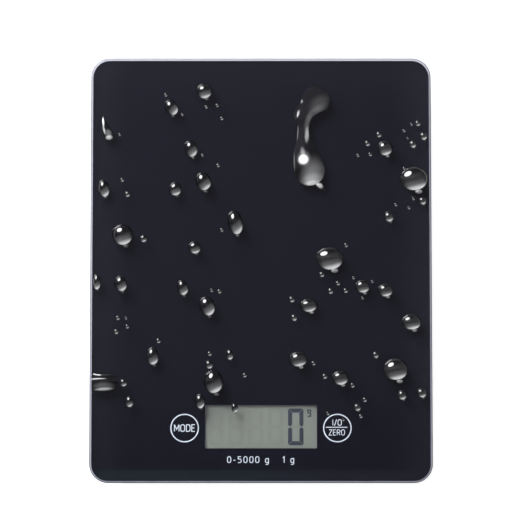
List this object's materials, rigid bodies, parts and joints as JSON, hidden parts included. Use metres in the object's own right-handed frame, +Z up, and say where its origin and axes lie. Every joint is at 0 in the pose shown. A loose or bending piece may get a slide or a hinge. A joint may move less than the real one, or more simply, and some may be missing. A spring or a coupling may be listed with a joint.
{
  "type": "kitchen scale",
  "caption": "Slim glass-top electronic kitchen scale with touch keys, a display window, load-cell feet that travel, and a hinged coin-cell lid underneath.",
  "frame": {"origin": "on the table plane, under the middle of the glass platform", "axes": "+X to the right, +Y from the display towards the back edge, +Z up out of the glass"},
  "size_m": [0.18, 0.225, 0.016],
  "materials": {
    "platform_glass": "polished tempered glass, ground edge",
    "black_print": "black enamel seen through glass",
    "legend_ink": "light grey ink",
    "foam_tape": "black acrylic foam tape",
    "housing_plastic": "fine spark-eroded texture",
    "gasket_foam": "closed-cell foam",
    "polariser_film": "grey-green positive display",
    "display_glass": "polished",
    "reflector_foil": "brushed foil",
    "white_plastic": "smooth moulded",
    "elastomer": "conductive rubber layers",
    "circuit_board": "green solder mask",
    "black_epoxy": "moulded epoxy",
    "ceramic_parts": "tinned ends",
    "spring_metal": "nickel-plated spring wire",
    "screw_steel": "zinc plated",
    "sensor_steel": "nickel-plated spring steel",
    "gauge_film": "amber polyimide under clear sealant",
    "bracket_plastic": "smooth moulded",
    "ribbon_insulation": "ribbon cable PVC",
    "cell_steel": "stainless can",
    "red_insulation": "PVC",
    "black_insulation": "PVC",
    "foot_plastic": "smooth moulded",
    "pad_rubber": "soft non-slip rubber"
  },
  "bodies": {
    "scale_body": {"glass_platform": "platform_glass", "back_print": "black_print", "legend_print": "legend_ink", "housing_tape": "foam_tape", "bracket_pads": "foam_tape", "housing": "housing_plastic", "lcd_gasket": "gasket_foam", "lcd_front_polariser": "polariser_film", "lcd_cell": "display_glass", "lcd_reflector": "reflector_foil", "lcd_frame": "white_plastic", "zebra_strip": "elastomer", "main_board": "circuit_board", "controller_blob": "black_epoxy", "adc_chip": "black_epoxy", "smd_parts": "ceramic_parts", "sensor_sockets": "white_plastic", "touch_spring_left": "spring_metal", "touch_spring_right": "spring_metal", "board_screws": "screw_steel", "bracket_screws": "screw_steel", "strain_gauges": "gauge_film", "coin_cell": "cell_steel", "battery_contact_positive": "spring_metal", "battery_contact_negative": "spring_metal", "battery_lead_red": "red_insulation", "battery_lead_black": "black_insulation", "sensor_bracket_front_left": "bracket_plastic", "sensor_ribbon_front_left": "ribbon_insulation", "sensor_bracket_front_right": "bracket_plastic", "sensor_ribbon_front_right": "ribbon_insulation", "sensor_bracket_back_left": "bracket_plastic", "sensor_ribbon_back_left": "ribbon_insulation", "sensor_bracket_back_right": "bracket_plastic", "sensor_ribbon_back_right": "ribbon_insulation"},
    "lid": {"battery_lid": "housing_plastic"},
    "foot_front_left": {"foot_cup_front_left": "foot_plastic", "foot_pad_front_left": "pad_rubber", "load_cell_front_left": "sensor_steel"},
    "foot_front_right": {"foot_cup_front_right": "foot_plastic", "foot_pad_front_right": "pad_rubber", "load_cell_front_right": "sensor_steel"},
    "foot_back_left": {"foot_cup_back_left": "foot_plastic", "foot_pad_back_left": "pad_rubber", "load_cell_back_left": "sensor_steel"},
    "foot_back_right": {"foot_cup_back_right": "foot_plastic", "foot_pad_back_right": "pad_rubber", "load_cell_back_right": "sensor_steel"}
  },
  "joints": [
    {"name": "battery_lid_hinge", "type": "hinge", "parent": "scale_body", "child": "lid", "pos_m": [0, -0.01, 0.003], "axis": [1, 0, 0], "range_deg": [0, 75]},
    {"name": "foot_travel_front_left", "type": "slide", "parent": "scale_body", "child": "foot_front_left", "axis": [0, 0, 1], "range_m": [0, 0.0005], "stiffness_N_per_m": 30000, "deforming": ["load_cell_front_left"]},
    {"name": "foot_travel_front_right", "type": "slide", "parent": "scale_body", "child": "foot_front_right", "axis": [0, 0, 1], "range_m": [0, 0.0005], "stiffness_N_per_m": 30000, "deforming": ["load_cell_front_right"]},
    {"name": "foot_travel_back_left", "type": "slide", "parent": "scale_body", "child": "foot_back_left", "axis": [0, 0, 1], "range_m": [0, 0.0005], "stiffness_N_per_m": 30000, "deforming": ["load_cell_back_left"]},
    {"name": "foot_travel_back_right", "type": "slide", "parent": "scale_body", "child": "foot_back_right", "axis": [0, 0, 1], "range_m": [0, 0.0005], "stiffness_N_per_m": 30000, "deforming": ["load_cell_back_right"]}
  ]
}
